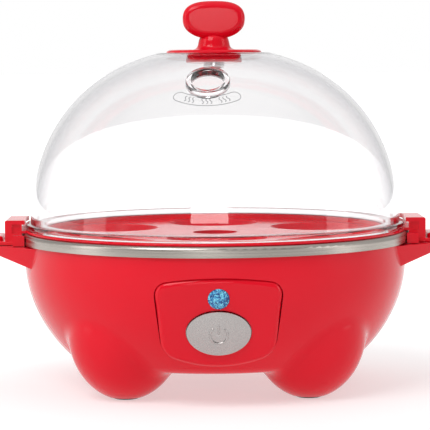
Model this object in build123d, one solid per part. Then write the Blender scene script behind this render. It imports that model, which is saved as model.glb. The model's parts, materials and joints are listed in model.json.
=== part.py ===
from build123d import *
import math
import os

# An egg cooker: red bowl on four feet, steel heating dish, lift-out egg tray, clear dome lid.
# Millimetres. +Z up, origin on the dome's axis at the level of the table, front towards -Y.

# ---- driving dimensions: rim stack, from the housing up to the lid ----
band_r = 78.0            # outside of the rolled steel rim, the widest round of the body
sheet_t = 0.8            # steel sheet of the heating dish
curl_bottom_z = 58.6     # lower edge of the rolled rim
curl_top_z = 62.8        # top of the rolled rim, where the tray rests
curl_inner_r = 73.0      # inside of the rolled rim
dish_floor_z = 50.0      # upper face of the dish's floor
dish_floor_r = 60.0
tray_rim_r = 76.8
tray_rim_t = 1.1
tray_wall_r = 72.2       # outside of the tray's wall, which drops inside the rolled rim
tray_wall_t = 1.2
deck_z = 61.8            # upper face of the tray's deck
deck_t = 2.0
lid_seat_z = curl_top_z + tray_rim_t

# ---- lid ----
dome_centre_z = 62.0
dome_a = 74.6            # radius of the dome's outer form at its base
dome_b = 74.6            # height of the dome's outer form above its centre
dome_n = 2.2             # exponents of the dome's superelliptic profile
dome_m = 2.3
dome_wall = 2.0
dome_flat_r = 22.0       # flat top under the knob's skirt
dome_points = 10
flange_r = 76.5
flange_t = 2.5
ridge_out_r = 70.7       # ridge inside the tray's rim, which centres the lid
ridge_in_r = 69.0
ridge_depth = 0.9
vent_r = 6.3
vent_lip_r = 8.5
vent_lip_h = 1.1
vent_profile_r = 47.0    # distance of the vent from the lid's axis
lid_turn = -3.8          # the round lid may sit at any angle; degrees about +Z

# ---- knob ----
knob_skirt_r = 19.2
knob_neck_r = 6.2
knob_neck_z = 140.2
knob_head_half_w = 12.5
knob_head_low_z = 139.8
knob_head_high_z = 155.0
knob_head_t = 11.0
knob_recess = 0.7
knob_border = 1.7
knob_bore_r = 3.4
washer_r = 11.3
washer_t = 1.8
knob_screw_r = 1.9
knob_screw_head_r = 4.2

# ---- tray ----
seat_count = 6
seat_pitch_r = 49.0
seat_top_r = 19.0
seat_hole_r = 16.6
seat_depth = 4.8
seat_wall = 1.6
steam_hole_r = 9.0
tab_half_y = 12.0
tab_in_r = 78.35
tab_out_r = 84.2
tab_top_z = 68.0
tab_cap_in_r = 77.1
tab_cap_t = 1.7
recess_depth = 0.8       # shallow recess in the front and back of the upright
collar_out_r = 80.6      # low collar of the tab, which hugs the steel rim
collar_half_y = 19.5
collar_top_z = 62.3
ledge_out_r = 92.3
ledge_low_z = 58.3
ledge_t = 1.4
ledge_half_y = 13.0
grip_in_r = 85.4
grip_out_r = 91.4
grip_half_y = 9.0
grip_top_z = 61.5

# ---- housing ----
bowl_a = 76.9            # half width of the bowl's outer ellipse
bowl_b = 60.5            # half height of that ellipse
bowl_centre_z = 52.0
bowl_wall = 2.0
bowl_floor_z = 12.0
floor_t = 3.0
bowl_top_z = 61.2
foot_a = 22.6
foot_b = 27.3
foot_centre_z = 26.7
foot_offset = 35.7       # each foot's centre, along X and along Y
foot_wall = 2.5
foot_floor_t = 4.0
foot_cut_z = 0.7
foot_blend_r = 9.0
pad_r = 5.0
pad_t = 2.2
bracket_top_z = 58.1
bracket_out_x = 92.5
bracket_in_x = 60.0
bracket_keel_slope = 0.343
bracket_keel_z = 51.0    # keel height where it meets the bowl
bracket_half_y_in = 39.0
bracket_half_y_out = 13.0
bracket_keel_share = 0.85 # width of the keel as a share of the width above it
post_r = 4.5
post_pitch_r = 40.5
post_top_z = 34.0
post_bore_r = 1.7
post_sink_r = 3.6
post_sink_top_z = 28.0
post_angles = (0, 90, 180)

# ---- control panel, tilted to face a little downwards ----
panel_tilt = 15.0
panel_centre_y = -72.6
panel_centre_z = 34.5
panel_top_v = 16.9
panel_low_v = -19.0
panel_top_half_w = 24.4
panel_bottom_half_w = 21.3
panel_top_bow = 3.4      # how far the top and bottom edges bow outwards at their middles
panel_low_bow = 4.6
panel_top_corner_r = 5.5
panel_low_corner_r = 8.0
panel_crown_r = 150.0
panel_front_t = 3.0
panel_wall = 2.0
panel_depth = 10.0
panel_bevel = 2.3
panel_gap = 0.2
lens_v = 8.9
lens_r = 4.0
lens_flange_r = 4.5
button_v = -4.6
button_half_w = 12.1
button_half_h = 8.7
button_gap = 0.25
button_lip = 1.3
button_proud = 2.2
button_dome_r = 36.0
button_back_w = -4.6
stem_r = 2.5
stem_end_w = -13.2
spring_r = 4.0
spring_wire_r = 0.25
spring_turns = 3.5
bracket_plate_w = -10.0
bracket_plate_t = 1.6
bracket_screw_u = 16.5
switch_half_u = 9.0
switch_half_v = 5.5
switch_depth = 9.4

# ---- heater ----
spreader_r = 46.0
spreader_t = 5.0
heater_ring_r = 32.0
heater_tube_r = 3.1
heater_gap = 40.0        # degrees left open at the back, where the two ends turn down
clamp_half_x = 35.8
clamp_half_y = 5.0
clamp_t = 1.5
thermostat_y = 15.5
thermostat_r = 8.0
fuse_y = -14.0
fuse_r = 2.0
fuse_half_x = 7.0

# ---- bottom and rear ----
cover_r = 28.5
cover_t = 1.8
cover_gap = 0.3
cover_screw_pitch_r = 24.8
cover_opening_r = 21.0
gland_z = 34.0
gland_seat_y = 74.4
gland_flange_r = 7.0
gland_body_r = 5.6
cord_bore_r = 3.5
cord_clamp_y = 54.0
cord_clamp_half_x = 13.0
cord_clamp_screw_x = 9.0
cord_clamp_z = gland_z + 3.2
cord_clamp_t = 2.5
wire_r = 1.0

CENTRE_LOW = (Align.CENTER, Align.CENTER, Align.MIN)
panel_plane = Plane(
    origin=(0, panel_centre_y, panel_centre_z),
    x_dir=(1, 0, 0),
    z_dir=(0, -math.cos(math.radians(panel_tilt)), -math.sin(math.radians(panel_tilt))),
)


def disc(radius, low, high, x=0, y=0):
    """A vertical cylinder from one height to another."""
    return Pos(x, y, low) * Cylinder(radius, high - low, align=CENTRE_LOW)


def ring(inner, outer, low, high, x=0, y=0):
    """A vertical tube from one height to another."""
    return disc(outer, low, high, x, y) - disc(inner, low - 1, high + 1, x, y)


def block(half_x, half_y, low, high, x=0, y=0):
    """An upright box, centred on x and y."""
    return Pos(x, y, low) * Box(2 * half_x, 2 * half_y, high - low, align=CENTRE_LOW)


def on_panel(u, v, w):
    """A place in the panel's own frame: u across, v up its face, w out of it."""
    return panel_plane.location * Pos(u, v, w)


def panel_rod(radius, v, back, front, u=0):
    """A round rod square to the panel's face."""
    return on_panel(u, v, back) * Cylinder(radius, front - back, align=CENTRE_LOW)


def turned(*edges):
    """A solid of revolution about Z from a closed outline in the XZ plane."""
    return revolve(make_face(edges), Axis.Z)


def around(shape, count, start=0):
    """Equal copies of a shape about Z."""
    return [Rot(0, 0, start + 360 * k / count) * shape for k in range(count)]


def dome_point(a, b, angle):
    """A point of the dome's superelliptic profile."""
    x = a * math.cos(angle) ** (2 / dome_n)
    z = dome_centre_z + b * math.sin(angle) ** (2 / dome_m)
    return (x, 0, z)


def dome_body(a, b, low_z):
    """The solid under one of the dome's surfaces, from low_z to its flat top."""
    start = math.asin(((low_z - dome_centre_z) / b) ** (dome_m / 2))
    end = math.acos((dome_flat_r / a) ** (dome_n / 2))
    steps = [start + (end - start) * k / dome_points for k in range(dome_points + 1)]
    points = [dome_point(a, b, angle) for angle in steps]
    profile = Spline(points)
    axis_top = (0, 0, points[-1][2])
    axis_low = (0, 0, low_z)
    rest = Polyline(points[-1], axis_top, axis_low, points[0])
    return turned(profile, rest)


def dome_top(a, b):
    """Height of the flat top of one of the dome's surfaces."""
    return dome_point(a, b, math.acos((dome_flat_r / a) ** (dome_n / 2)))[2]


def vent_location():
    """The vent's centre on the dome's outer surface, with Z along the surface's normal."""
    r = vent_profile_r
    h = dome_b * (1 - (r / dome_a) ** dome_n) ** (1 / dome_m)
    out = dome_n * r ** (dome_n - 1) / dome_a**dome_n
    up = dome_m * h ** (dome_m - 1) / dome_b**dome_m
    place = Plane(origin=(0, -r, dome_centre_z + h), x_dir=(1, 0, 0), z_dir=(0, -out, up))
    return place.location


def make_lid_dome():
    inner_a = dome_a - dome_wall
    inner_b = dome_b - dome_wall
    flange_z = lid_seat_z + flange_t
    shell = dome_body(dome_a, dome_b, lid_seat_z)
    shell += disc(flange_r, lid_seat_z, flange_z)
    shell = fillet(shell.edges().filter_by(GeomType.CIRCLE).group_by(SortBy.RADIUS)[-1], 0.5)
    hollow = dome_body(inner_a, inner_b, flange_z) + disc(ridge_in_r, lid_seat_z - 1, flange_z)
    shell -= hollow
    shell += ring(ridge_in_r, ridge_out_r, lid_seat_z - ridge_depth, lid_seat_z)
    vent = vent_location()
    lip = Pos(0, 0, -dome_wall - 0.4) * Cylinder(
        vent_lip_r, dome_wall + 0.4 + vent_lip_h, align=CENTRE_LOW
    )
    lip = fillet(lip.edges().filter_by(GeomType.CIRCLE), 0.6)
    shell += vent * lip
    shell -= vent * Cylinder(vent_r, 20)
    shell -= disc(knob_bore_r, dome_top(inner_a, inner_b) - 2, dome_top(dome_a, dome_b) + 2)
    return Rot(0, 0, lid_turn) * shell


def superellipse_half(half_w, low, high, power, steps=12):
    """Points of the right half of a knob head's outline, from bottom to top."""
    mid = (low + high) / 2
    half_h = (high - low) / 2
    points = []
    for k in range(steps + 1):
        angle = -math.pi / 2 + math.pi * k / steps
        c = math.cos(angle)
        s = math.sin(angle)
        x = half_w * max(c, 0) ** (2 / power)
        z = mid + half_h * math.copysign(abs(s) ** (2 / power), s)
        points.append((x, z))
    return points


def knob_head_outline(shrink):
    """The knob head's face, wider above than below, drawn in by shrink on every side."""
    half_w = knob_head_half_w - shrink
    low = knob_head_low_z + shrink
    high = knob_head_high_z - shrink
    right = superellipse_half(half_w, low, high, 2.7)
    # the lower half is pinched in towards the neck
    span = high - low
    pinched = [(x * (1 - 0.2 * (1 - min(1, 2 * (z - low) / span)) ** 2), z) for x, z in right]
    left = [(-x, z) for x, z in reversed(pinched[1:-1])]
    with BuildSketch(Plane.XZ) as face:
        with BuildLine():
            Spline(pinched + left, periodic=True)
        make_face()
    return face.sketch


def make_lid_knob():
    low = dome_top(dome_a, dome_b)
    head = extrude(knob_head_outline(0), knob_head_t / 2, both=True)
    head = fillet(head.edges(), 3.0)
    for side in (-1, 1):
        dish = extrude(knob_head_outline(knob_border), 3)
        sunk = Pos(0, side * (knob_head_t / 2 - knob_recess + 1.5) + 1.5, 0) * dish
        head -= sunk
    skirt_edge = 0.4
    neck = turned(
        Line((0, 0, low), (knob_skirt_r, 0, low)),
        Line((knob_skirt_r, 0, low), (knob_skirt_r - 0.1, 0, low + skirt_edge)),
        Spline(
            (knob_skirt_r - 0.1, 0, low + skirt_edge),
            (knob_neck_r + 5.0, 0, low + 1.0),
            (knob_neck_r + 0.5, 0, low + 2.4),
            (knob_neck_r, 0, knob_neck_z - 1.6),
            (knob_neck_r - 1.7, 0, knob_neck_z + 1.4),
        ),
        Line((knob_neck_r - 1.7, 0, knob_neck_z + 1.4), (0, 0, knob_neck_z + 1.4)),
        Line((0, 0, knob_neck_z + 1.4), (0, 0, low)),
    )
    spigot = disc(knob_bore_r - 0.15, dome_top(dome_a - dome_wall, dome_b - dome_wall), low)
    knob = head + neck + spigot
    return knob - disc(knob_screw_r, low - 5, low + 9)


def make_knob_washer():
    top = dome_top(dome_a - dome_wall, dome_b - dome_wall)
    washer = ring(knob_screw_r + 0.1, washer_r, top - washer_t, top)
    return fillet(washer.edges().filter_by(GeomType.CIRCLE).group_by(SortBy.RADIUS)[-1], 0.5)


def make_knob_screw():
    top = dome_top(dome_a - dome_wall, dome_b - dome_wall) - washer_t
    head = disc(knob_screw_head_r, top - 2.4, top)
    head = fillet(head.edges().sort_by(Axis.Z)[0], 1.2)
    slot = block(0.5, 2.6, top - 3, top - 1.2)
    cross = block(2.6, 0.5, top - 3, top - 1.2)
    return head - slot - cross + disc(knob_screw_r, top, top + 11)


def seat_cone(extra):
    """The conical seat of one egg, grown by extra on its side."""
    height = seat_depth
    return Pos(seat_pitch_r, 0, deck_z - height) * Cone(
        seat_hole_r + extra, seat_top_r + extra, height, align=CENTRE_LOW
    )


def tab_sector(inner, outer_x, half_y, low, high):
    """A piece of the +X tab: flat outside, following the rim's round inside."""
    flat = block((outer_x - 60) / 2, half_y, low, high, x=(outer_x + 60) / 2)
    return flat & (disc(120, low, high) - disc(inner, low - 1, high + 1))


def make_lift_tab():
    """The tab on the +X side: bridge over the rim, upright with a cap, ledge with a grip."""
    cap_low = tab_top_z - tab_cap_t
    bridge = tab_sector(tray_rim_r - 1, tab_in_r + 1, tab_half_y, curl_top_z, lid_seat_z)
    upright = tab_sector(tab_in_r, tab_out_r, tab_half_y, ledge_low_z, tab_top_z)
    cap = tab_sector(tab_cap_in_r, tab_out_r, tab_half_y, cap_low, tab_top_z)
    collar = tab_sector(tab_in_r, collar_out_r, collar_half_y, ledge_low_z, collar_top_z)
    arm = upright + cap
    arm = fillet(arm.edges().filter_by(Axis.Y).group_by(Axis.Z)[-1], 0.8)
    panel = block(1.6, recess_depth, collar_top_z + 0.6, cap_low, x=tab_in_r + 1.4, y=tab_half_y)
    arm -= panel
    arm -= mirror(panel, Plane.XZ)
    ledge = tab_sector(tab_in_r, ledge_out_r, ledge_half_y, ledge_low_z, ledge_low_z + ledge_t)
    ledge = fillet(ledge.edges().filter_by(Axis.Z).group_by(Axis.X)[-1], 4.5)
    ledge = fillet(ledge.edges().group_by(Axis.Z)[-1], 0.5)
    grip = block((grip_out_r - grip_in_r) / 2, grip_half_y, ledge_low_z + ledge_t - 0.5, grip_top_z,
                 x=(grip_out_r + grip_in_r) / 2)
    grip = fillet(grip.edges().filter_by(Axis.Z), 2.0)
    grip = fillet(grip.edges().group_by(Axis.Z)[-1], 1.2)
    return bridge + arm + collar + ledge + grip


def make_egg_tray():
    tray = ring(tray_wall_r - tray_wall_t, tray_rim_r, curl_top_z, lid_seat_z)
    tray = fillet(tray.edges().filter_by(GeomType.CIRCLE).group_by(SortBy.RADIUS)[-1], 0.5)
    tray += ring(tray_wall_r - tray_wall_t, tray_wall_r, deck_z - deck_t, lid_seat_z)
    tray += disc(tray_wall_r, deck_z - deck_t, deck_z)
    for seat in around(seat_cone(seat_wall), seat_count, start=30):
        tray += seat & disc(tray_wall_r, 0, deck_z)
    for hollow in around(seat_cone(0), seat_count, start=30):
        tray -= hollow
    tray -= disc(steam_hole_r, deck_z - deck_t - 1, deck_z + 1)
    tab = make_lift_tab()
    tray += tab
    tray += mirror(tab, Plane.YZ)
    return tray


def bowl_form(half_w, half_h, low, high):
    """The bowl's lower ellipse of revolution with a straight wall above its widest level."""
    with BuildSketch(Plane.XZ) as face:
        with Locations((0, bowl_centre_z)):
            Ellipse(half_w, half_h)
        with Locations((half_w, (low + bowl_centre_z) / 2)):
            Rectangle(2 * half_w, bowl_centre_z - low, mode=Mode.INTERSECT)
    lower = revolve(face.sketch, Axis.Z)
    return lower + disc(half_w, bowl_centre_z, high)


def foot_form(half_w, half_h, low):
    """One foot's bulge: an upright ellipsoid cut flat underneath."""
    with BuildSketch(Plane.XZ) as face:
        with Locations((0, foot_centre_z)):
            Ellipse(half_w, half_h)
        with Locations((half_w, low + 50)):
            Rectangle(2 * half_w, 100, mode=Mode.INTERSECT)
    return revolve(face.sketch, Axis.Z)


def foot_places():
    return [Pos(x * foot_offset, y * foot_offset, 0) for x in (-1, 1) for y in (-1, 1)]


def make_side_bracket():
    """The boat-shaped bracket on the +X side, which carries the tray's tab."""
    def section(x, half_y):
        keel = bracket_keel_z + (x - bowl_a) * bracket_keel_slope
        with BuildSketch(Plane(origin=(x, 0, 0), x_dir=(0, 1, 0), z_dir=(1, 0, 0))) as face:
            with BuildLine():
                low_y = half_y * bracket_keel_share
                Polyline(
                    (-low_y, keel),
                    (low_y, keel),
                    (half_y, bracket_top_z),
                    (-half_y, bracket_top_z),
                    close=True,
                )
            make_face()
        return face.sketch

    sections = [section(bracket_in_x, bracket_half_y_in), section(bracket_out_x, bracket_half_y_out)]
    hull = loft(sections, ruled=True)
    end_round = extrude(
        Plane.XY * Pos(bracket_in_x, 0) * RectangleRounded(2 * (bracket_out_x - bracket_in_x), 90, 6),
        100,
    )
    return hull & end_round


def make_post(angle):
    post = disc(post_r, bowl_floor_z + 1, post_top_z, x=post_pitch_r)
    return Rot(0, 0, angle) * post


def make_post_bore(angle):
    bore = disc(post_bore_r, 0, 60, x=post_pitch_r)
    bore += disc(post_sink_r, 0, post_sink_top_z, x=post_pitch_r)
    return Rot(0, 0, angle) * bore


def panel_outline(grow):
    """The shield-shaped outline of the panel, in its own plane."""
    top = panel_top_v - panel_top_bow
    low = panel_low_v + panel_low_bow
    with BuildSketch() as face:
        with BuildLine():
            ThreePointArc((-panel_top_half_w, top), (0, panel_top_v), (panel_top_half_w, top))
            Line((panel_top_half_w, top), (panel_bottom_half_w, low))
            ThreePointArc((panel_bottom_half_w, low), (0, panel_low_v), (-panel_bottom_half_w, low))
            Line((-panel_bottom_half_w, low), (-panel_top_half_w, top))
        make_face()
        corners = face.vertices().sort_by(Axis.Y)
        fillet(corners[:2], panel_low_corner_r)
        corners = face.vertices().sort_by(Axis.Y)
        fillet(corners[-2:], panel_top_corner_r)
        if grow:
            offset(amount=grow)
    return face.sketch


def panel_block(grow, back, front):
    """The outline given depth, from back to front along the panel's normal."""
    return panel_plane.location * Pos(0, 0, back) * extrude(panel_outline(grow), front - back)


def make_housing():
    outer = bowl_form(bowl_a, bowl_b, bowl_floor_z, bowl_top_z)
    for place in foot_places():
        outer += place * foot_form(foot_a, foot_b, foot_cut_z)
    seams = [
        edge for edge in outer.edges()
        if edge.bounding_box().min.Z > foot_cut_z + 0.1
        and edge.bounding_box().max.Z < bowl_centre_z - 1
    ]
    outer = fillet(seams, foot_blend_r)
    bracket = make_side_bracket()
    outer += bracket
    outer += mirror(bracket, Plane.YZ)
    seat = Pos(0, gland_seat_y, gland_z) * Rot(90, 0, 0) * Cylinder(8.4, 14, align=CENTRE_LOW)
    outer += fillet(seat.edges().sort_by(Axis.Y)[-1], 1.0)
    cavity = bowl_form(bowl_a - bowl_wall, bowl_b - bowl_wall, bowl_floor_z + floor_t, bowl_top_z + 1)
    for place in foot_places():
        cavity += place * foot_form(foot_a - foot_wall, foot_b - foot_floor_t, foot_floor_t)
    shell = outer - cavity
    shell += ring(cover_opening_r, cover_r + 3, bowl_floor_z, bowl_floor_z + floor_t + 1)
    shell -= disc(cover_opening_r, 0, bowl_floor_z + floor_t + 2)
    for boss in around(disc(3.6, bowl_floor_z + 1, 20.5, x=cover_screw_pitch_r), 4, start=45):
        shell += boss
    shell -= disc(cover_r + cover_gap, 0, bowl_floor_z + cover_t)
    for hole in around(disc(1.5, 0, 19.5, x=cover_screw_pitch_r), 4, start=45):
        shell -= hole
    for angle in post_angles:
        shell += make_post(angle)
    for angle in post_angles:
        shell -= make_post_bore(angle)
    shell += block(cord_clamp_half_x, 4, bowl_floor_z + 1, gland_z - 3.6, y=cord_clamp_y)
    for side in (-1, 1):
        pillar_x = side * cord_clamp_screw_x
        shell += disc(3.4, gland_z - 4, cord_clamp_z, x=pillar_x, y=cord_clamp_y)
        shell -= disc(1.3, gland_z - 8, cord_clamp_z + 1, x=pillar_x, y=cord_clamp_y)
    shell -= panel_block(panel_gap, -panel_depth - 3, 20)
    shell -= Pos(0, 50, gland_z) * Rot(-90, 0, 0) * Cylinder(gland_body_r + 0.1, 40, align=CENTRE_LOW)
    shell -= Pos(0, gland_seat_y, gland_z) * Rot(-90, 0, 0) * Cylinder(
        gland_flange_r + 0.3, 10, align=CENTRE_LOW
    )
    for place in foot_places():
        shell -= place * disc(pad_r + 0.1, 0, pad_t)
    return shell


def make_foot_pads():
    pad = disc(pad_r, 0, pad_t)
    pad = fillet(pad.edges().sort_by(Axis.Z)[0], 0.4)
    return [place * pad for place in foot_places()]


def make_heating_plate():
    half = sheet_t / 2
    with BuildSketch(Plane.XZ) as section:
        with BuildLine() as middle:
            FilletPolyline(
                (band_r - half, curl_bottom_z),
                (band_r - half, curl_top_z - half),
                (curl_inner_r + half, curl_top_z - half),
                (curl_inner_r + half - 0.3, 57.0),
                (dish_floor_r + 8, dish_floor_z + 2.2),
                (dish_floor_r - 4, dish_floor_z - half),
                (0.5, dish_floor_z - half),
                radius=[1.2, 0.7, 3.0, 4.0, 9.0],
            )
        trace(middle.line, sheet_t)
    dish = revolve(section.sketch, Axis.Z)
    return dish + disc(0.6, dish_floor_z - sheet_t, dish_floor_z)


def make_plate_gasket():
    return ring(bowl_a - bowl_wall + 0.2, bowl_a - 1.0, bowl_top_z, curl_top_z - sheet_t)


def make_heat_spreader():
    top = dish_floor_z - sheet_t
    low = top - spreader_t
    spreader = disc(spreader_r, low, top)
    groove = Pos(0, 0, low) * Torus(heater_ring_r, heater_tube_r + 0.1)
    spreader -= groove
    for angle in post_angles:
        boss = disc(4.0, post_top_z, low + 0.5, x=post_pitch_r)
        spreader += Rot(0, 0, angle) * boss
        spreader -= Rot(0, 0, angle) * disc(1.5, post_top_z - 1, low + 2, x=post_pitch_r)
    spreader -= disc(1.6, low - 1, low + 3)
    return spreader - disc(1.1, low - 1, low + 3, y=fuse_y - 7)


def heater_end(side):
    """One end of the heater ring, where the tube turns down."""
    angle = math.radians(90 + side * heater_gap / 2)
    return (heater_ring_r * math.cos(angle), heater_ring_r * math.sin(angle))


def make_heater_element():
    low = dish_floor_z - sheet_t - spreader_t
    arc = CenterArc((0, 0, low), heater_ring_r, 90 + heater_gap / 2, 360 - heater_gap)
    start = Plane(origin=arc @ 0, z_dir=arc % 0)
    element = sweep(start * Circle(heater_tube_r), path=arc)
    for side in (-1, 1):
        x, y = heater_end(side)
        element += Pos(x, y, low) * Sphere(heater_tube_r)
        element += disc(heater_tube_r, low - 6, low, x=x, y=y)
        element += disc(1.2, low - 10.2, low - 6, x=x, y=y)
    return element


def clamp_top():
    return dish_floor_z - sheet_t - spreader_t - heater_tube_r


def make_clamp_bar():
    bar = block(clamp_half_x, clamp_half_y, clamp_top() - clamp_t, clamp_top())
    bar = fillet(bar.edges().filter_by(Axis.Z), 3)
    return bar - disc(1.7, 0, 60)


def make_clamp_spacer():
    return ring(1.7, 4.0, clamp_top(), clamp_top() + heater_tube_r)


def make_clamp_screw():
    low = clamp_top() - clamp_t
    return disc(3.2, low - 2, low) + disc(1.5, low, clamp_top() + heater_tube_r + 2.5)


def make_thermostat():
    top = dish_floor_z - sheet_t - spreader_t
    body = disc(thermostat_r, top - 5.5, top, y=thermostat_y)
    body += disc(thermostat_r - 1.5, top - 8, top - 5.5, y=thermostat_y)
    for side in (-1, 1):
        body += block(0.4, 2, top - 11.6, top - 8, x=side * 5, y=thermostat_y)
    return body


def fuse_axis_z():
    return dish_floor_z - sheet_t - spreader_t - fuse_r - 0.1


def make_thermal_fuse():
    fuse = Pos(0, fuse_y, fuse_axis_z()) * Rot(0, 90, 0) * Cylinder(fuse_r, 2 * fuse_half_x)
    fuse = fillet(fuse.edges(), 0.6)
    lead = Pos(0, fuse_y, fuse_axis_z()) * Rot(0, 90, 0) * Cylinder(0.5, 2 * fuse_half_x + 6)
    return fuse + lead


def make_fuse_strap():
    top = dish_floor_z - sheet_t - spreader_t
    z = fuse_axis_z()
    half_x = 2.5
    strap = Pos(0, fuse_y, z) * Rot(0, 90, 0) * Cylinder(fuse_r + 0.9, 2 * half_x)
    strap += block(half_x, fuse_r + 0.9, z, top, y=fuse_y)
    strap += block(half_x, 4.5, top - 0.8, top, y=fuse_y - 6.5)
    strap -= Pos(0, fuse_y, z) * Rot(0, 90, 0) * Cylinder(fuse_r + 0.05, 20)
    strap -= block(10, fuse_r + 0.05, z, top + 1, y=fuse_y)
    return strap - disc(1.2, top - 3, top + 1, y=fuse_y - 7)


def make_strap_screw():
    top = dish_floor_z - sheet_t - spreader_t
    return disc(2.0, top - 2.3, top - 0.8, y=fuse_y - 7) + disc(1.0, top - 0.8, top + 2.5, y=fuse_y - 7)


def make_plate_screws():
    screw = disc(3.0, post_sink_top_z - 2.2, post_sink_top_z, x=post_pitch_r)
    screw += disc(1.4, post_sink_top_z, post_top_z + 9, x=post_pitch_r)
    return [Rot(0, 0, angle) * screw for angle in post_angles]


def make_control_panel():
    shell = panel_block(0, -panel_depth, 4)
    crown_centre = -panel_crown_r
    crown = on_panel(0, 0, crown_centre) * Rot(90, 0, 0) * Cylinder(panel_crown_r, 80)
    shell = shell & crown
    outward = Axis(panel_plane.origin, panel_plane.z_dir)
    front = shell.faces().sort_by(outward)[-1]
    shell = fillet(front.edges(), panel_bevel)
    shell -= panel_block(-panel_wall, -panel_depth - 1, -panel_front_t)
    for side in (-1, 1):
        shell += panel_rod(2.6, button_v, -panel_depth, -panel_front_t, u=side * bracket_screw_u)
        shell -= panel_rod(1.1, button_v, -panel_depth - 1, -panel_front_t - 2, u=side * bracket_screw_u)
    window = extrude(Ellipse(button_half_w + button_gap, button_half_h + button_gap), 30)
    shell -= on_panel(0, button_v, -15) * window
    # the upper edge is trimmed short, clear of the heating dish behind it
    shell -= disc(bowl_a - bowl_wall - 0.2, bowl_centre_z - 6, bowl_top_z)
    return shell - panel_rod(lens_r + 0.1, lens_v, -20, 10)


def make_indicator_lens():
    lens = panel_rod(lens_r, lens_v, -panel_front_t, 1.1)
    ball = on_panel(0, lens_v, 1.1 - 9) * Sphere(9)
    lens = lens & ball
    return lens + panel_rod(lens_flange_r, lens_v, -panel_front_t - 1.2, -panel_front_t)


def make_lamp_holder():
    back = -panel_depth
    front = -panel_front_t - 1.2
    return panel_rod(lens_flange_r - 0.2, lens_v, back, front) - panel_rod(2.6, lens_v, back - 1, front + 1)


def make_indicator_lamp():
    lamp = panel_rod(2.5, lens_v, -panel_depth - 2, -6.5)
    lamp += on_panel(0, lens_v, -6.5) * Sphere(1.9)
    for side in (-1, 1):
        lamp += panel_rod(0.3, lens_v, -panel_depth - 6, -panel_depth - 2, u=side * 1.2)
    return lamp


def make_button_cap():
    edge = button_back_w + button_lip + 0.1
    cap = on_panel(0, button_v, button_back_w) * extrude(
        Ellipse(button_half_w, button_half_h), 20
    )
    ball = on_panel(0, button_v, button_proud - button_dome_r) * Sphere(button_dome_r)
    cap = cap & ball
    lip = on_panel(0, button_v, button_back_w) * extrude(
        Ellipse(button_half_w + button_lip, button_half_h - 0.1), edge - button_back_w
    )
    return cap + lip


def make_button_stem():
    stem = panel_rod(stem_r, button_v, stem_end_w, button_back_w)
    return chamfer(stem.edges().filter_by(GeomType.CIRCLE).sort_by(Axis.Y)[-1], 0.4)


def make_button_spring():
    gap = button_back_w - bracket_plate_w
    low = spring_wire_r + 0.02
    rise = gap - 2 * low
    path = Helix(pitch=rise / spring_turns, height=rise, radius=spring_r)
    wire = sweep(Plane(origin=path @ 0, z_dir=path % 0) * Circle(spring_wire_r), path=path)
    return on_panel(0, button_v, bracket_plate_w + low) * wire


def make_switch_bracket():
    back = bracket_plate_w - bracket_plate_t
    plate = on_panel(0, button_v, back) * Box(38, 16, bracket_plate_t, align=CENTRE_LOW)
    plate -= panel_rod(stem_r + 0.3, button_v, -30, 0)
    for side in (-1, 1):
        plate -= panel_rod(1.3, button_v, -30, 0, u=side * bracket_screw_u)
    return plate


def make_bracket_screws():
    back = bracket_plate_w - bracket_plate_t
    screws = []
    for side in (-1, 1):
        screw = panel_rod(2.3, button_v, back - 1.8, back, u=side * bracket_screw_u)
        screw += panel_rod(1.0, button_v, back, -panel_front_t - 2.6, u=side * bracket_screw_u)
        screws.append(screw)
    return screws


def make_switch_body():
    front = bracket_plate_w - bracket_plate_t
    body = on_panel(0, button_v, front - switch_depth) * Box(
        2 * switch_half_u, 2 * switch_half_v, switch_depth, align=CENTRE_LOW
    )
    body -= panel_rod(stem_r + 0.2, button_v, front - 5.5, front + 1)
    for side in (-1, 1):
        body += on_panel(side * 5, button_v, front - switch_depth - 5) * Box(
            0.8, 4.8, 5, align=CENTRE_LOW
        )
    return body


def make_bottom_cover():
    cover = disc(cover_r, bowl_floor_z, bowl_floor_z + cover_t)
    cover = chamfer(cover.edges().sort_by(Axis.Z)[0], 0.5)
    for hole in around(disc(1.6, 0, 20, x=cover_screw_pitch_r), 4, start=45):
        cover -= hole
    for k in range(-2, 3):
        slot = Plane.XY * Pos(0, k * 6) * SlotOverall(22 - 3 * abs(k), 1.8)
        cover -= extrude(slot, 20)
    return cover


def make_cover_screws():
    head = disc(2.8, bowl_floor_z - 1.2, bowl_floor_z, x=cover_screw_pitch_r)
    head = fillet(head.edges().sort_by(Axis.Z)[0], 0.7)
    screw = head + disc(1.4, bowl_floor_z, 19, x=cover_screw_pitch_r)
    screw -= block(0.4, 1.8, bowl_floor_z - 2, bowl_floor_z - 0.6, x=cover_screw_pitch_r)
    return around(screw, 4, start=45)


def make_cord_gland():
    """Bushing in the rear wall; its bore takes the mains lead."""
    def rod(radius, low, high):
        return Pos(0, low, gland_z) * Rot(-90, 0, 0) * Cylinder(radius, high - low, align=CENTRE_LOW)

    flange = rod(gland_flange_r, gland_seat_y, gland_seat_y + 2.4)
    flange = fillet(flange.edges().sort_by(Axis.Y)[-1], 1.0)
    gland = flange + rod(gland_body_r, gland_seat_y - 15, gland_seat_y)
    return gland - rod(cord_bore_r, 0, 100)


def make_cord_clamp():
    clamp = block(cord_clamp_half_x, 4, cord_clamp_z, cord_clamp_z + cord_clamp_t, y=cord_clamp_y)
    clamp = fillet(clamp.edges().filter_by(Axis.Z), 1.5)
    for side in (-1, 1):
        clamp -= disc(1.5, cord_clamp_z - 1, cord_clamp_z + 5, x=side * cord_clamp_screw_x, y=cord_clamp_y)
    return clamp


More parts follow.
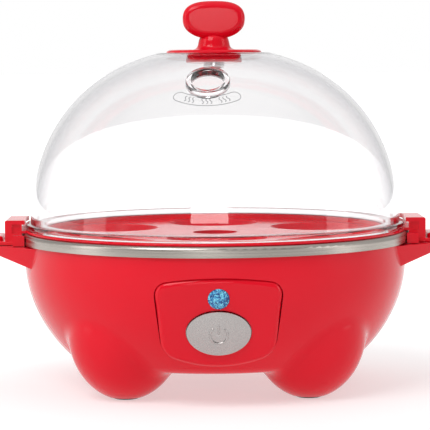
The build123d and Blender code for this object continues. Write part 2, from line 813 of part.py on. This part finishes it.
def make_cord_clamp_screws():
    top = cord_clamp_z + cord_clamp_t
    screw = disc(2.6, top, top + 2, y=cord_clamp_y) + disc(1.2, top - 10, top, y=cord_clamp_y)
    return [Pos(side * cord_clamp_screw_x, 0, 0) * screw for side in (-1, 1)]


def make_terminal_block():
    body = block(4, 10, bowl_floor_z + floor_t + 1, 25, x=30)
    for y in (-6, 4):
        body -= disc(1.2, 22, 26, x=31.5, y=y + 3)
    return body


def wire(*points):
    """A round wire along straight runs joined by arcs."""
    path = FilletPolyline(*points, radius=1.6)
    start = Plane(origin=path @ 0, z_dir=path % 0)
    return sweep(start * Circle(wire_r), path=path)


def make_wires():
    tab_back = bracket_plate_w - bracket_plate_t - switch_depth - 5
    right_tab = on_panel(5, button_v, tab_back).position
    left_tab = on_panel(-5, button_v, tab_back).position
    right_run = on_panel(5, button_v, tab_back - 6).position
    left_run = on_panel(-5, button_v, tab_back - 6).position
    top = dish_floor_z - sheet_t - spreader_t
    pin_z = top - 10.2
    tab_z = top - 11.6
    fuse_end = fuse_half_x + 3
    fuse_z = fuse_axis_z()
    right_x, right_y = heater_end(-1)
    left_x, left_y = heater_end(1)
    return {
        "wire_block_to_switch": wire(
            (30, -6, 25), (30, -6, 31), (20, -32, 33), right_run, right_tab
        ),
        "wire_switch_to_thermostat": wire(
            left_tab, left_run, (-13, -24, 33), (-13, 4, 28), (-5, thermostat_y, 26),
            (-5, thermostat_y, tab_z)
        ),
        "wire_thermostat_to_heater": wire(
            (5, thermostat_y, tab_z), (5, thermostat_y, 27), (right_x, right_y, 27),
            (right_x, right_y, pin_z)
        ),
        "wire_heater_to_fuse": wire(
            (left_x, left_y, pin_z), (left_x, left_y, 28), (-22, 14, 30), (-21, -9, 34),
            (-fuse_end - 5, fuse_y, fuse_z), (-fuse_end, fuse_y, fuse_z)
        ),
        "wire_fuse_to_block": wire(
            (fuse_end, fuse_y, fuse_z), (fuse_end + 5, fuse_y, fuse_z), (20, -10, 34),
            (30, 4, 31), (30, 4, 25)
        ),
    }


def all_parts():
    parts = {
        "lid_dome": make_lid_dome(),
        "lid_knob": make_lid_knob(),
        "knob_washer": make_knob_washer(),
        "knob_screw": make_knob_screw(),
        "egg_tray": make_egg_tray(),
        "housing": make_housing(),
        "heating_plate": make_heating_plate(),
        "plate_gasket": make_plate_gasket(),
        "heat_spreader": make_heat_spreader(),
        "heater_element": make_heater_element(),
        "clamp_bar": make_clamp_bar(),
        "clamp_spacer": make_clamp_spacer(),
        "clamp_screw": make_clamp_screw(),
        "thermostat": make_thermostat(),
        "thermal_fuse": make_thermal_fuse(),
        "fuse_strap": make_fuse_strap(),
        "strap_screw": make_strap_screw(),
        "plate_screws": make_plate_screws(),
        "control_panel": make_control_panel(),
        "indicator_lens": make_indicator_lens(),
        "lamp_holder": make_lamp_holder(),
        "indicator_lamp": make_indicator_lamp(),
        "button_cap": make_button_cap(),
        "button_stem": make_button_stem(),
        "button_spring": make_button_spring(),
        "switch_bracket": make_switch_bracket(),
        "bracket_screws": make_bracket_screws(),
        "switch_body": make_switch_body(),
        "bottom_cover": make_bottom_cover(),
        "cover_screws": make_cover_screws(),
        "foot_pads": make_foot_pads(),
        "cord_gland": make_cord_gland(),
        "cord_clamp": make_cord_clamp(),
        "cord_clamp_screws": make_cord_clamp_screws(),
        "terminal_block": make_terminal_block(),
    }
    parts.update(make_wires())
    return parts


os.makedirs("parts", exist_ok=True)
for name, shape in all_parts().items():
    if isinstance(shape, list):
        shape = Compound(children=shape)
    export_step(shape, f"parts/{name}.step")
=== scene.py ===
import json
import math

import bmesh
import bpy
from mathutils import Matrix, Vector


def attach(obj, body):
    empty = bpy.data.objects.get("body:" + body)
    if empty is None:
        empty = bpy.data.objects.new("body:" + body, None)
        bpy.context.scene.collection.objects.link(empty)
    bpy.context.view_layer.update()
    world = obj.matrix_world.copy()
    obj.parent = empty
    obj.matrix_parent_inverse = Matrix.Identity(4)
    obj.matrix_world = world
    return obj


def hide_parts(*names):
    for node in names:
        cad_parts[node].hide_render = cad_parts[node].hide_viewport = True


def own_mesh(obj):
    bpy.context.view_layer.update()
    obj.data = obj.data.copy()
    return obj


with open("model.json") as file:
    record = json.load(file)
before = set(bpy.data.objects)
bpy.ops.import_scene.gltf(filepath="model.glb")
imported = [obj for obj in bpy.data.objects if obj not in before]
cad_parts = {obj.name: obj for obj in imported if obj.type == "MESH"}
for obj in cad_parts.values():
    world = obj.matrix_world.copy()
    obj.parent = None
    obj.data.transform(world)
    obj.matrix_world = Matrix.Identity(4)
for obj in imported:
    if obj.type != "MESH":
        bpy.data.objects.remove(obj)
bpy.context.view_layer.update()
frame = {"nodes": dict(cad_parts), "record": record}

# An egg cooker in a pale studio. Metres, +Z up, the front faces -Y, as in the CAD frame.
MM = 0.001

# ---- camera, from the photograph's view ----
EYE_DISTANCE = 0.850
EYE_HEIGHT = 0.1345
EYE_SIDE = -0.013
LENS = 176.0
LOOK_DOWN = math.radians(4.43)
ROLL = math.radians(-0.4)


# ---------------------------------------------------------------- materials
def material(name):
    mat = bpy.data.materials.new(name)
    mat.use_nodes = True
    tree = mat.node_tree
    return mat, tree, tree.nodes["Principled BSDF"]


def noise(tree, scale, detail=3.0):
    coords = tree.nodes.new("ShaderNodeTexCoord")
    node = tree.nodes.new("ShaderNodeTexNoise")
    node.inputs["Scale"].default_value = scale
    node.inputs["Detail"].default_value = detail
    tree.links.new(coords.outputs["Object"], node.inputs["Vector"])
    return node


def ramp(tree, source, low, high, start=0.35, end=0.65):
    node = tree.nodes.new("ShaderNodeValToRGB")
    node.color_ramp.elements[0].position = start
    node.color_ramp.elements[1].position = end
    node.color_ramp.elements[0].color = low
    node.color_ramp.elements[1].color = high
    tree.links.new(source, node.inputs["Fac"])
    return node


def bump(tree, shader, source, strength, distance):
    node = tree.nodes.new("ShaderNodeBump")
    node.inputs["Strength"].default_value = strength
    node.inputs["Distance"].default_value = distance
    tree.links.new(source, node.inputs["Height"])
    tree.links.new(node.outputs["Normal"], shader.inputs["Normal"])


def grey(value):
    return (value, value, value, 1.0)


def varied_roughness(tree, shader, scale, low, high):
    """Roughness that wanders gently between two values, as handling leaves it."""
    source = noise(tree, scale)
    mapped = ramp(tree, source.outputs["Fac"], grey(low), grey(high))
    tree.links.new(mapped.outputs["Color"], shader.inputs["Roughness"])


def plastic(name, colour, darker, rough, bump_scale=900.0, bump_strength=0.03, shine=0.5):
    mat, tree, shader = material(name)
    tint = ramp(tree, noise(tree, 18.0).outputs["Fac"], darker, colour)
    tree.links.new(tint.outputs["Color"], shader.inputs["Base Color"])
    varied_roughness(tree, shader, 60.0, rough * 0.85, rough * 1.2)
    shader.inputs["IOR"].default_value = 1.5
    shader.inputs["Specular IOR Level"].default_value = shine
    bump(tree, shader, noise(tree, bump_scale, 2.0).outputs["Fac"], bump_strength, 0.0001)
    return mat


def metal(name, colour, rough, stretch=(1.0, 1.0, 1.0), scale=300.0, strength=0.05):
    """Metal with fine lines, drawn out along the axis whose stretch is smallest."""
    mat, tree, shader = material(name)
    shader.inputs["Metallic"].default_value = 1.0
    coords = tree.nodes.new("ShaderNodeTexCoord")
    mapping = tree.nodes.new("ShaderNodeMapping")
    mapping.inputs["Scale"].default_value = stretch
    lines = tree.nodes.new("ShaderNodeTexNoise")
    lines.inputs["Scale"].default_value = scale
    lines.inputs["Detail"].default_value = 4.0
    tree.links.new(coords.outputs["Object"], mapping.inputs["Vector"])
    tree.links.new(mapping.outputs["Vector"], lines.inputs["Vector"])
    darker = tuple(c * 0.86 for c in colour[:3]) + (1.0,)
    tint = ramp(tree, lines.outputs["Fac"], darker, colour)
    tree.links.new(tint.outputs["Color"], shader.inputs["Base Color"])
    rough_map = ramp(tree, lines.outputs["Fac"], grey(rough * 0.8), grey(rough * 1.25))
    tree.links.new(rough_map.outputs["Color"], shader.inputs["Roughness"])
    bump(tree, shader, lines.outputs["Fac"], strength, 0.0001)
    return mat


def clear_plastic(name):
    """Clear moulded plastic, which lets light from the lamps through to what is inside."""
    mat, tree, shader = material(name)
    shader.inputs["Transmission Weight"].default_value = 1.0
    shader.inputs["IOR"].default_value = 1.46
    # painted shade: the colour turns grey where the wall is seen edge-on, so the rim looks a little
    # greyer
    facing = tree.nodes.new("ShaderNodeLayerWeight")
    facing.inputs["Blend"].default_value = 0.5
    tint = ramp(tree, facing.outputs["Facing"],
                (0.985, 0.98, 0.985, 1.0), (0.50, 0.48, 0.52, 1.0), 0.60, 1.0)
    tree.links.new(tint.outputs["Color"], shader.inputs["Base Color"])
    varied_roughness(tree, shader, 40.0, 0.008, 0.03)
    path = tree.nodes.new("ShaderNodeLightPath")
    through = tree.nodes.new("ShaderNodeBsdfTransparent")
    through.inputs["Color"].default_value = (0.95, 0.95, 0.96, 1.0)
    mix = tree.nodes.new("ShaderNodeMixShader")
    out = tree.nodes["Material Output"]
    tree.links.new(path.outputs["Is Shadow Ray"], mix.inputs["Fac"])
    tree.links.new(shader.outputs["BSDF"], mix.inputs[1])
    tree.links.new(through.outputs["BSDF"], mix.inputs[2])
    tree.links.new(mix.outputs["Shader"], out.inputs["Surface"])
    return mat


RED = plastic("red_plastic", (0.69, 0.004, 0.017, 1), (0.65, 0.003, 0.015, 1),
              0.13, 700.0, 0.010, shine=0.22)
CLEAR = clear_plastic("clear_plastic")
BRUSHED = metal("brushed_steel", (0.47, 0.43, 0.39, 1), 0.28, (0.4, 0.4, 60.0), 30.0, 0.08)
BRIGHT = metal("bright_steel", (0.72, 0.72, 0.72, 1), 0.2)
CAST = metal("cast_aluminium", (0.66, 0.66, 0.67, 1), 0.42, (1, 1, 1), 700.0, 0.25)
BLACK = plastic("black_plastic", (0.022, 0.022, 0.023, 1), (0.014, 0.014, 0.015, 1), 0.5, 1600.0, 0.2)
WHITE = plastic("white_plastic", (0.80, 0.79, 0.75, 1), (0.70, 0.69, 0.65, 1), 0.4, 1200.0, 0.1)
SILICONE = plastic("silicone", (0.75, 0.74, 0.70, 1), (0.65, 0.64, 0.60, 1), 0.45)
RUBBER = plastic("rubber", (0.03, 0.028, 0.028, 1), (0.018, 0.017, 0.017, 1), 0.7, 1500.0, 0.3)
SILVER = metal("satin_silver", (0.47, 0.44, 0.43, 1), 0.24, (1, 1, 1), 2600.0, 0.008)
INK = plastic("grey_ink", (0.20, 0.20, 0.21, 1), (0.26, 0.26, 0.27, 1), 0.5)


def crystal():
    """Blue lens moulded with small prisms: dark blue cells among pale cyan ones, the pale ones a
    painted highlight for the prisms' sparkle.
    """
    mat, tree, shader = material("blue_lens")
    coords = tree.nodes.new("ShaderNodeTexCoord")
    cells = tree.nodes.new("ShaderNodeTexVoronoi")
    cells.inputs["Scale"].default_value = 2400.0
    tree.links.new(coords.outputs["Object"], cells.inputs["Vector"])
    split = tree.nodes.new("ShaderNodeSeparateColor")
    tree.links.new(cells.outputs["Color"], split.inputs["Color"])
    # painted highlights: the ramp's pale cyan stops stand in for light sparkling in the prisms
    tint = tree.nodes.new("ShaderNodeValToRGB")
    stops = tint.color_ramp.elements
    stops[0].position = 0.1
    stops[0].color = (0.002, 0.015, 0.12, 1)
    stops[1].position = 0.9
    stops[1].color = (0.20, 0.66, 0.82, 1)
    middle = stops.new(0.5)
    middle.color = (0.004, 0.20, 0.50, 1)
    tree.links.new(split.outputs["Red"], tint.inputs["Fac"])
    tree.links.new(tint.outputs["Color"], shader.inputs["Base Color"])
    shader.inputs["Roughness"].default_value = 0.1
    shader.inputs["IOR"].default_value = 1.55
    bump(tree, shader, cells.outputs["Distance"], 0.5, 0.0004)
    return mat


BLUE = crystal()

FINISH = {
    "red_plastic": RED, "clear_plastic": CLEAR, "brushed_steel": BRUSHED, "bright_steel": BRIGHT,
    "aluminium": CAST, "black_plastic": BLACK, "white_plastic": WHITE, "silicone": SILICONE,
    "rubber": RUBBER, "satin_silver": SILVER, "blue_lens": BLUE,
}


def paint(obj, mat):
    obj.data.materials.clear()
    obj.data.materials.append(mat)


for entry in frame["record"]["subparts"]:
    paint(frame["nodes"][entry["node"]], FINISH[entry["material_slot"]])


# ---------------------------------------------------------------- pieces with a shape of their own
def mesh_piece(name, points, faces, mat, smooth=True):
    mesh = bpy.data.meshes.new(name)
    mesh.from_pydata([tuple(p) for p in points], [], faces)
    mesh.validate()
    obj = bpy.data.objects.new(name, mesh)
    bpy.context.collection.objects.link(obj)
    paint(obj, mat)
    for face in mesh.polygons:
        face.use_smooth = smooth
    return obj


# the dome's profile, in millimetres, as in the CAD frame
DOME_A = 74.6
DOME_B = 74.6
DOME_WALL = 2.0
DOME_FLAT_R = 22.0
KNOB_BORE_R = 3.4
LID_SEAT_Z = 63.9
FLANGE_R = 76.5
FLANGE_Z = 66.4
RIDGE_OUT_R = 70.7
RIDGE_IN_R = 69.0
RIDGE_LOW_Z = 63.0
VENT_BORE_R = 6.3
VENT_LIP_R = 8.5
VENT_LIP_H = 1.1
SETTLE_STEPS = 12
SETTLE_REACH = 25          # about the dome's radius over its exponents, in millimetres
INK_LOW = 0.02             # the printed line lies just on the surface
INK_HIGH = 0.08
DOME_N = 2.2
DOME_M = 2.3
DOME_CENTRE_Z = 62.0
LID_TURN = math.radians(-3.8)
VENT_R = 47.0


def dome_height(r):
    return DOME_CENTRE_Z + DOME_B * (1 - (r / DOME_A) ** DOME_N) ** (1 / DOME_M)


def vent_frame():
    """Origin, right, up-slope and outward directions on the dome at the vent."""
    r = VENT_R
    h = dome_height(r) - DOME_CENTRE_Z
    out = DOME_N * r ** (DOME_N - 1) / DOME_A ** DOME_N
    up = DOME_M * h ** (DOME_M - 1) / DOME_B ** DOME_M
    normal = Vector((0, -out, up)).normalized()
    right = Vector((1, 0, 0))
    return Vector((0, -r, DOME_CENTRE_Z + h)), right, normal.cross(right), normal


def on_dome(u, v, lift):
    """A point beside the vent: u right and v up the slope, laid onto the dome's surface."""
    origin, right, upward, normal = vent_frame()
    place = origin + right * u + upward * v
    r = math.hypot(place.x, place.y)
    z = dome_height(min(r, DOME_A - 0.01))
    # step along the normal until the point meets the dome's surface
    for _ in range(SETTLE_STEPS):
        h = z - DOME_CENTRE_Z
        gap = (r / DOME_A) ** DOME_N + (abs(h) / DOME_B) ** DOME_M - 1
        place = place - normal * gap * SETTLE_REACH
        r = math.hypot(place.x, place.y)
        z = place.z
    turn = Matrix.Rotation(LID_TURN, 4, "Z")
    return turn @ ((place + normal * lift) * MM)


def ribbon(path, half_width, low, high, closed=True):
    """A thin printed line, with a square section, along points (u, v) on the dome."""
    points = []
    faces = []
    count = len(path)
    for k, (u, v) in enumerate(path):
        before = path[k - 1] if closed or k else path[k]
        after = path[(k + 1) % count] if closed or k + 1 < count else path[k]
        du = after[0] - before[0]
        dv = after[1] - before[1]
        size = math.hypot(du, dv) or 1.0
        nu = -dv / size * half_width
        nv = du / size * half_width
        points += [on_dome(u + nu, v + nv, low), on_dome(u + nu, v + nv, high),
                   on_dome(u - nu, v - nv, high), on_dome(u - nu, v - nv, low)]
    for k in range(count if closed else count - 1):
        here = 4 * k
        there = 4 * ((k + 1) % count)
        for side in range(4):
            nxt = (side + 1) % 4
            faces.append((here + side, here + nxt, there + nxt, there + side))
    if not closed:
        last = 4 * (count - 1)
        faces += [(3, 2, 1, 0), (last, last + 1, last + 2, last + 3)]
    return points, faces


def joined(parts):
    points = []
    faces = []
    for more_points, more_faces in parts:
        base = len(points)
        points += more_points
        faces += [tuple(base + i for i in face) for face in more_faces]
    return points, faces


def lathe(name, profile, mat, steps=192, place=None):
    """A closed profile of (radius, height) points, in millimetres, turned about an axis."""
    turn = place or Matrix.Identity(4)
    points = []
    faces = []
    count = len(profile)
    for i in range(steps):
        a = 2 * math.pi * i / steps
        for r, z in profile:
            points.append((turn @ Vector((r * math.cos(a), r * math.sin(a), z))) * MM)
    for i in range(steps):
        here = i * count
        there = ((i + 1) % steps) * count
        for j in range(count):
            k = (j + 1) % count
            faces.append((here + j, there + j, there + k, here + k))
    obj = mesh_piece(name, points, faces, mat)
    crease(obj, 35)
    return obj


def crease(obj, degrees):
    """Smooth shading, except across edges that turn by more than this."""
    work = bmesh.new()
    work.from_mesh(obj.data)
    bmesh.ops.recalc_face_normals(work, faces=work.faces)
    limit = math.radians(degrees)
    for edge in work.edges:
        edge.smooth = len(edge.link_faces) == 2 and edge.calc_face_angle(0) < limit
    for face in work.faces:
        face.smooth = True
    work.to_mesh(obj.data)
    work.free()


def dome_curve(shrink, low_z, steps):
    """Profile of one of the dome's surfaces from its flat top down to low_z."""
    a = DOME_A - shrink
    b = DOME_B - shrink
    top = math.acos((DOME_FLAT_R / a) ** (DOME_N / 2))
    low = math.asin(((low_z - DOME_CENTRE_Z) / b) ** (DOME_M / 2))
    curve = []
    for k in range(steps + 1):
        t = top + (low - top) * k / steps
        r = a * math.cos(t) ** (2 / DOME_N)
        curve.append((r, DOME_CENTRE_Z + b * math.sin(t) ** (2 / DOME_M)))
    return curve


def vent_matrix():
    origin, right, upward, normal = vent_frame()
    local = Matrix((
        (right.x, upward.x, normal.x, origin.x),
        (right.y, upward.y, normal.y, origin.y),
        (right.z, upward.z, normal.z, origin.z),
        (0, 0, 0, 1),
    ))
    return Matrix.Rotation(LID_TURN, 4, "Z") @ local


def clear_dome():
    """The lid's shell as one fine turned form, cut for the vent, with the vent's ring in it."""
    edge = 0.5
    outer = dome_curve(0.0, FLANGE_Z, 72)
    inner = dome_curve(DOME_WALL, FLANGE_Z, 72)
    profile = [(KNOB_BORE_R, outer[0][1])] + outer
    profile += [(FLANGE_R - edge, FLANGE_Z), (FLANGE_R - 0.15, FLANGE_Z - 0.15),
                (FLANGE_R, FLANGE_Z - edge)]
    profile += [(FLANGE_R, LID_SEAT_Z + edge), (FLANGE_R - 0.15, LID_SEAT_Z + 0.15)]
    profile += [(FLANGE_R - edge, LID_SEAT_Z), (RIDGE_OUT_R, LID_SEAT_Z), (RIDGE_OUT_R, RIDGE_LOW_Z)]
    profile += [(RIDGE_IN_R, RIDGE_LOW_Z), (RIDGE_IN_R, FLANGE_Z)]
    profile += list(reversed(inner)) + [(KNOB_BORE_R, inner[0][1])]
    dome = lathe("clear_dome", profile, CLEAR, 240)
    cutter = lathe("vent_cutter", [(0.001, -8), (VENT_LIP_R - 0.02, -8),
                                   (VENT_LIP_R - 0.02, 8), (0.001, 8)],
                   CLEAR, 96, vent_matrix())
    cut = dome.modifiers.new("vent", "BOOLEAN")
    cut.operation = "DIFFERENCE"
    cut.solver = "EXACT"
    cut.object = cutter
    view = bpy.context.evaluated_depsgraph_get()
    shaped = bpy.data.meshes.new_from_object(dome.evaluated_get(view))
    dome.modifiers.clear()
    dome.data = shaped
    bpy.data.objects.remove(cutter)
    crease(dome, 35)
    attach(dome, "lid")
    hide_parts("lid_dome")

    low = -DOME_WALL - 0.4
    round_r = 0.6
    ring = []
    corners = [
        (VENT_BORE_R + round_r, VENT_LIP_H - round_r, math.pi, math.pi / 2),
        (VENT_LIP_R - round_r, VENT_LIP_H - round_r, math.pi / 2, 0.0),
        (VENT_LIP_R - round_r, low + round_r, 0.0, -math.pi / 2),
        (VENT_BORE_R + round_r, low + round_r, -math.pi / 2, -math.pi),
    ]
    for x, z, start, end in corners:
        for k in range(7):
            a = start + (end - start) * k / 6
            ring.append((x + round_r * math.cos(a), z + round_r * math.sin(a)))
    vent = lathe("vent_ring", ring, CLEAR, 96, vent_matrix())
    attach(vent, "lid")


def steam_mark():
    """Printed line under the vent: a curved pill below the ring, holding rising waves."""
    arc_r = 18.5
    centre_v = 7.3
    cap = 2.3
    half_angle = math.radians(34.5)
    path = []
    for side, sweep_from in ((1, -half_angle), (-1, half_angle)):
        for k in range(33):
            a = -math.pi / 2 + sweep_from * (1 - k / 16)
            r = arc_r + side * cap
            path.append((r * math.cos(a), centre_v + r * math.sin(a)))
        end = -math.pi / 2 - sweep_from
        for k in range(1, 12):
            b = end + math.pi * k / 12 if side > 0 else end + math.pi * (1 + k / 12)
            path.append((arc_r * math.cos(end) + cap * math.cos(b),
                         centre_v + arc_r * math.sin(end) + cap * math.sin(b)))
    parts = [ribbon(path, 0.12, INK_LOW, INK_HIGH)]
    for group in (-21.0, 0.0, 21.0):
        for wave in (-1, 0, 1):
            base_angle = -math.pi / 2 + math.radians(group + 4.8 * wave)
            line = []
            for k in range(13):
                r = arc_r + 1.35 - 2.7 * k / 12
                a = base_angle + math.radians(1.25) * math.sin(2 * math.pi * k / 12)
                line.append((r * math.cos(a), centre_v + r * math.sin(a)))
            parts.append(ribbon(line, 0.14, INK_LOW, INK_HIGH, closed=False))
    points, faces = joined(parts)
    mark = mesh_piece("steam_mark", points, faces, INK, smooth=False)
    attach(mark, "lid")


# the control panel's plane, tilted to face a little downwards
PANEL_TILT = math.radians(15)
PANEL_CENTRE = Vector((0, -72.6, 34.5))
BUTTON_V = -4.6
BUTTON_PROUD = 2.2
BUTTON_DOME_R = 36.0
BUTTON_BACK_W = -4.6       # underside of the button
SPRING_SEAT_W = -10.0      # the plate behind it, on which the spring stands


def on_panel(u, v, w):
    out = Vector((0, -math.cos(PANEL_TILT), -math.sin(PANEL_TILT)))
    right = Vector((1, 0, 0))
    upward = Vector((0, -math.sin(PANEL_TILT), math.cos(PANEL_TILT)))
    return (PANEL_CENTRE + right * u + upward * v + out * w) * MM


def button_face(u, v):
    """Height of the button's domed face above the panel's plane."""
    r2 = u * u + v * v
    return BUTTON_PROUD - BUTTON_DOME_R + math.sqrt(BUTTON_DOME_R ** 2 - r2)


def raised_line(path, half_width, rise):
    """A rounded bead along points (u, v) on the button's face."""
    points = []
    faces = []
    around = 7
    for k, (u, v) in enumerate(path):
        before = path[max(k - 1, 0)]
        after = path[min(k + 1, len(path) - 1)]
        du = after[0] - before[0]
        dv = after[1] - before[1]
        size = math.hypot(du, dv) or 1.0
        end = min(k, len(path) - 1 - k)
        swell = math.sqrt(1 - max(0.0, 1 - end / 2) ** 2) if end < 2 else 1.0
        for j in range(around):
            a = math.pi * j / (around - 1)
            side = half_width * math.cos(a) * max(swell, 0.15)
            uu = u - dv / size * side
            vv = v + du / size * side
            height = button_face(uu, vv) - 0.03 + rise * math.sin(a) * max(swell, 0.1)
            points.append(on_panel(uu, BUTTON_V + vv, height))
    for k in range(len(path) - 1):
        for j in range(around - 1):
            a = k * around + j
            faces.append((a, a + 1, a + 1 + around, a + around))
    return points, faces


def power_symbol():
    """The usual on-off sign, a broken ring and a stroke, raised on the button."""
    ring_r = 3.3
    gap = math.radians(32)
    arc = []
    for k in range(49):
        a = math.pi / 2 + gap + (2 * math.pi - 2 * gap) * k / 48
        arc.append((ring_r * math.cos(a), ring_r * math.sin(a) - 0.2))
    stroke = [(0, -0.2 + 4.3 * k / 12) for k in range(13)]
    half_width = 0.42
    rise = 0.45
    points, faces = joined([raised_line(arc, half_width, rise), raised_line(stroke, half_width, rise)])
    sign = mesh_piece("power_symbol", points, faces, SILVER)
    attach(sign, "power_button")


def return_spring():
    """The button's wire spring, modelled at rest; the real one shortens as the button goes in."""
    back = SPRING_SEAT_W
    front = BUTTON_BACK_W
    wire_r = 0.25
    coil_r = 4.0
    turns = 3.5
    steps = 112
    sides = 8
    rise = front - back - 2 * (wire_r + 0.02)
    points = []
    faces = []
    for i in range(steps + 1):
        a = 2 * math.pi * turns * i / steps
        w = back + wire_r + 0.02 + rise * i / steps
        for j in range(sides):
            b = 2 * math.pi * j / sides
            r = coil_r + wire_r * math.cos(b)
            points.append(on_panel(r * math.cos(a), BUTTON_V + r * math.sin(a),
                                   w + wire_r * math.sin(b)))
    for i in range(steps):
        for j in range(sides):
            k = (j + 1) % sides
            faces.append((i * sides + j, i * sides + k, (i + 1) * sides + k, (i + 1) * sides + j))
    faces.append(tuple(range(sides)))
    faces.append(tuple(steps * sides + j for j in reversed(range(sides))))
    spring = mesh_piece("return_spring", points, faces, BRIGHT)
    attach(spring, "base")
    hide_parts("button_spring")
    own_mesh(spring)


clear_dome()
steam_mark()
power_symbol()
return_spring()


# ---------------------------------------------------------------- stage, light and camera
def area_light(name, place, aim, size, power, size_y=None):
    data = bpy.data.lights.new(name, "AREA")
    data.shape = "RECTANGLE"
    data.size = size
    data.size_y = size_y or size
    data.energy = power
    obj = bpy.data.objects.new(name, data)
    obj.location = place
    direction = Vector(aim) - Vector(place)
    obj.rotation_euler = direction.to_track_quat("-Z", "Y").to_euler()
    bpy.context.collection.objects.link(obj)
    return obj


def studio():
    world = bpy.data.worlds.new("studio")
    bpy.context.scene.world = world
    world.use_nodes = True
    tree = world.node_tree
    sky = tree.nodes["Background"]
    # white straight behind and above, greyer at the sides and darkest behind the camera,
    # as the flags round a clear object in a product studio make it
    coords = tree.nodes.new("ShaderNodeTexCoord")
    axes = tree.nodes.new("ShaderNodeSeparateXYZ")
    tree.links.new(coords.outputs["Generated"], axes.inputs["Vector"])
    span = tree.nodes.new("ShaderNodeMapRange")
    span.inputs["From Min"].default_value = -1.0
    tree.links.new(axes.outputs["Y"], span.inputs["Value"])
    around = ramp(tree, span.outputs["Result"], grey(0.28), grey(1.0), 0.12, 0.975)
    for position, value in ((0.58, 0.60), (0.91, 0.62)):
        around.color_ramp.elements.new(position).color = grey(value)
    above = ramp(tree, axes.outputs["Z"], grey(0.0), grey(1.0), 0.35, 1.0)
    most = tree.nodes.new("ShaderNodeMix")
    most.data_type = "RGBA"
    most.blend_type = "LIGHTEN"
    most.inputs["Factor"].default_value = 1.0
    tree.links.new(around.outputs["Color"], most.inputs[6])
    tree.links.new(above.outputs["Color"], most.inputs[7])
    tree.links.new(most.outputs[2], sky.inputs["Color"])
    sky.inputs["Strength"].default_value = 1.0
    key = area_light("key", (-0.55, -0.80, 1.1), (0, 0, 0.05), 0.7, 10.0)
    key.visible_transmission = False
    area_light("front", (-0.10, -1.4, 0.27), (0, 0, 0.12), 0.55, 1.9, 0.24)
    for side, name in ((-1, "left"), (1, "right")):
        lamp = area_light(name, (side * 1.1, -0.25, 0.30), (0, 0, 0.06), 0.35, 2.2, 0.9)
        lamp.visible_transmission = False

    mesh = bpy.data.meshes.new("floor")
    half = 12.0
    mesh.from_pydata([(-half, -half, 0), (half, -half, 0), (half, half, 0), (-half, half, 0)],
                     [], [(0, 1, 2, 3)])
    floor = bpy.data.objects.new("floor", mesh)
    bpy.context.collection.objects.link(floor)
    mat, tree, shader = material("pale_floor")
    shader.inputs["Base Color"].default_value = (0.50, 0.50, 0.50, 1.0)
    shader.inputs["Roughness"].default_value = 0.7
    shader.inputs["Specular IOR Level"].default_value = 0.1
    # the floor brightens behind the object, like paper swept up into a lit backdrop,
    # and fades towards the camera
    coords = tree.nodes.new("ShaderNodeTexCoord")
    axes = tree.nodes.new("ShaderNodeSeparateXYZ")
    tree.links.new(coords.outputs["Object"], axes.inputs["Vector"])
    span = tree.nodes.new("ShaderNodeMapRange")
    span.inputs["From Min"].default_value = -1.5
    span.inputs["From Max"].default_value = 0.9
    tree.links.new(axes.outputs["Y"], span.inputs["Value"])
    glow = ramp(tree, span.outputs["Result"], grey(0.0), grey(1.0), 0.0, 1.0)
    for position in (0.52, 0.62):
        glow.color_ramp.elements.new(position).color = grey(0.52)
    shader.inputs["Emission Color"].default_value = (1.0, 1.0, 1.0, 1.0)
    tree.links.new(glow.outputs["Color"], shader.inputs["Emission Strength"])
    paint(floor, mat)


def photo_camera():
    data = bpy.data.cameras.new("photo_view")
    data.lens = LENS
    data.sensor_width = 36.0
    data.clip_start = 0.01
    obj = bpy.data.objects.new("photo_view", data)
    obj.location = (EYE_SIDE, -EYE_DISTANCE, EYE_HEIGHT)
    yaw = math.atan2(EYE_SIDE, EYE_DISTANCE)
    turn = Matrix.Rotation(yaw, 4, "Z") @ Matrix.Rotation(math.pi / 2 - LOOK_DOWN, 4, "X")
    obj.rotation_euler = (turn @ Matrix.Rotation(ROLL, 4, "Z")).to_euler()
    bpy.context.collection.objects.link(obj)
    bpy.context.scene.camera = obj


studio()
photo_camera()
bpy.context.scene.view_settings.view_transform = "Standard"
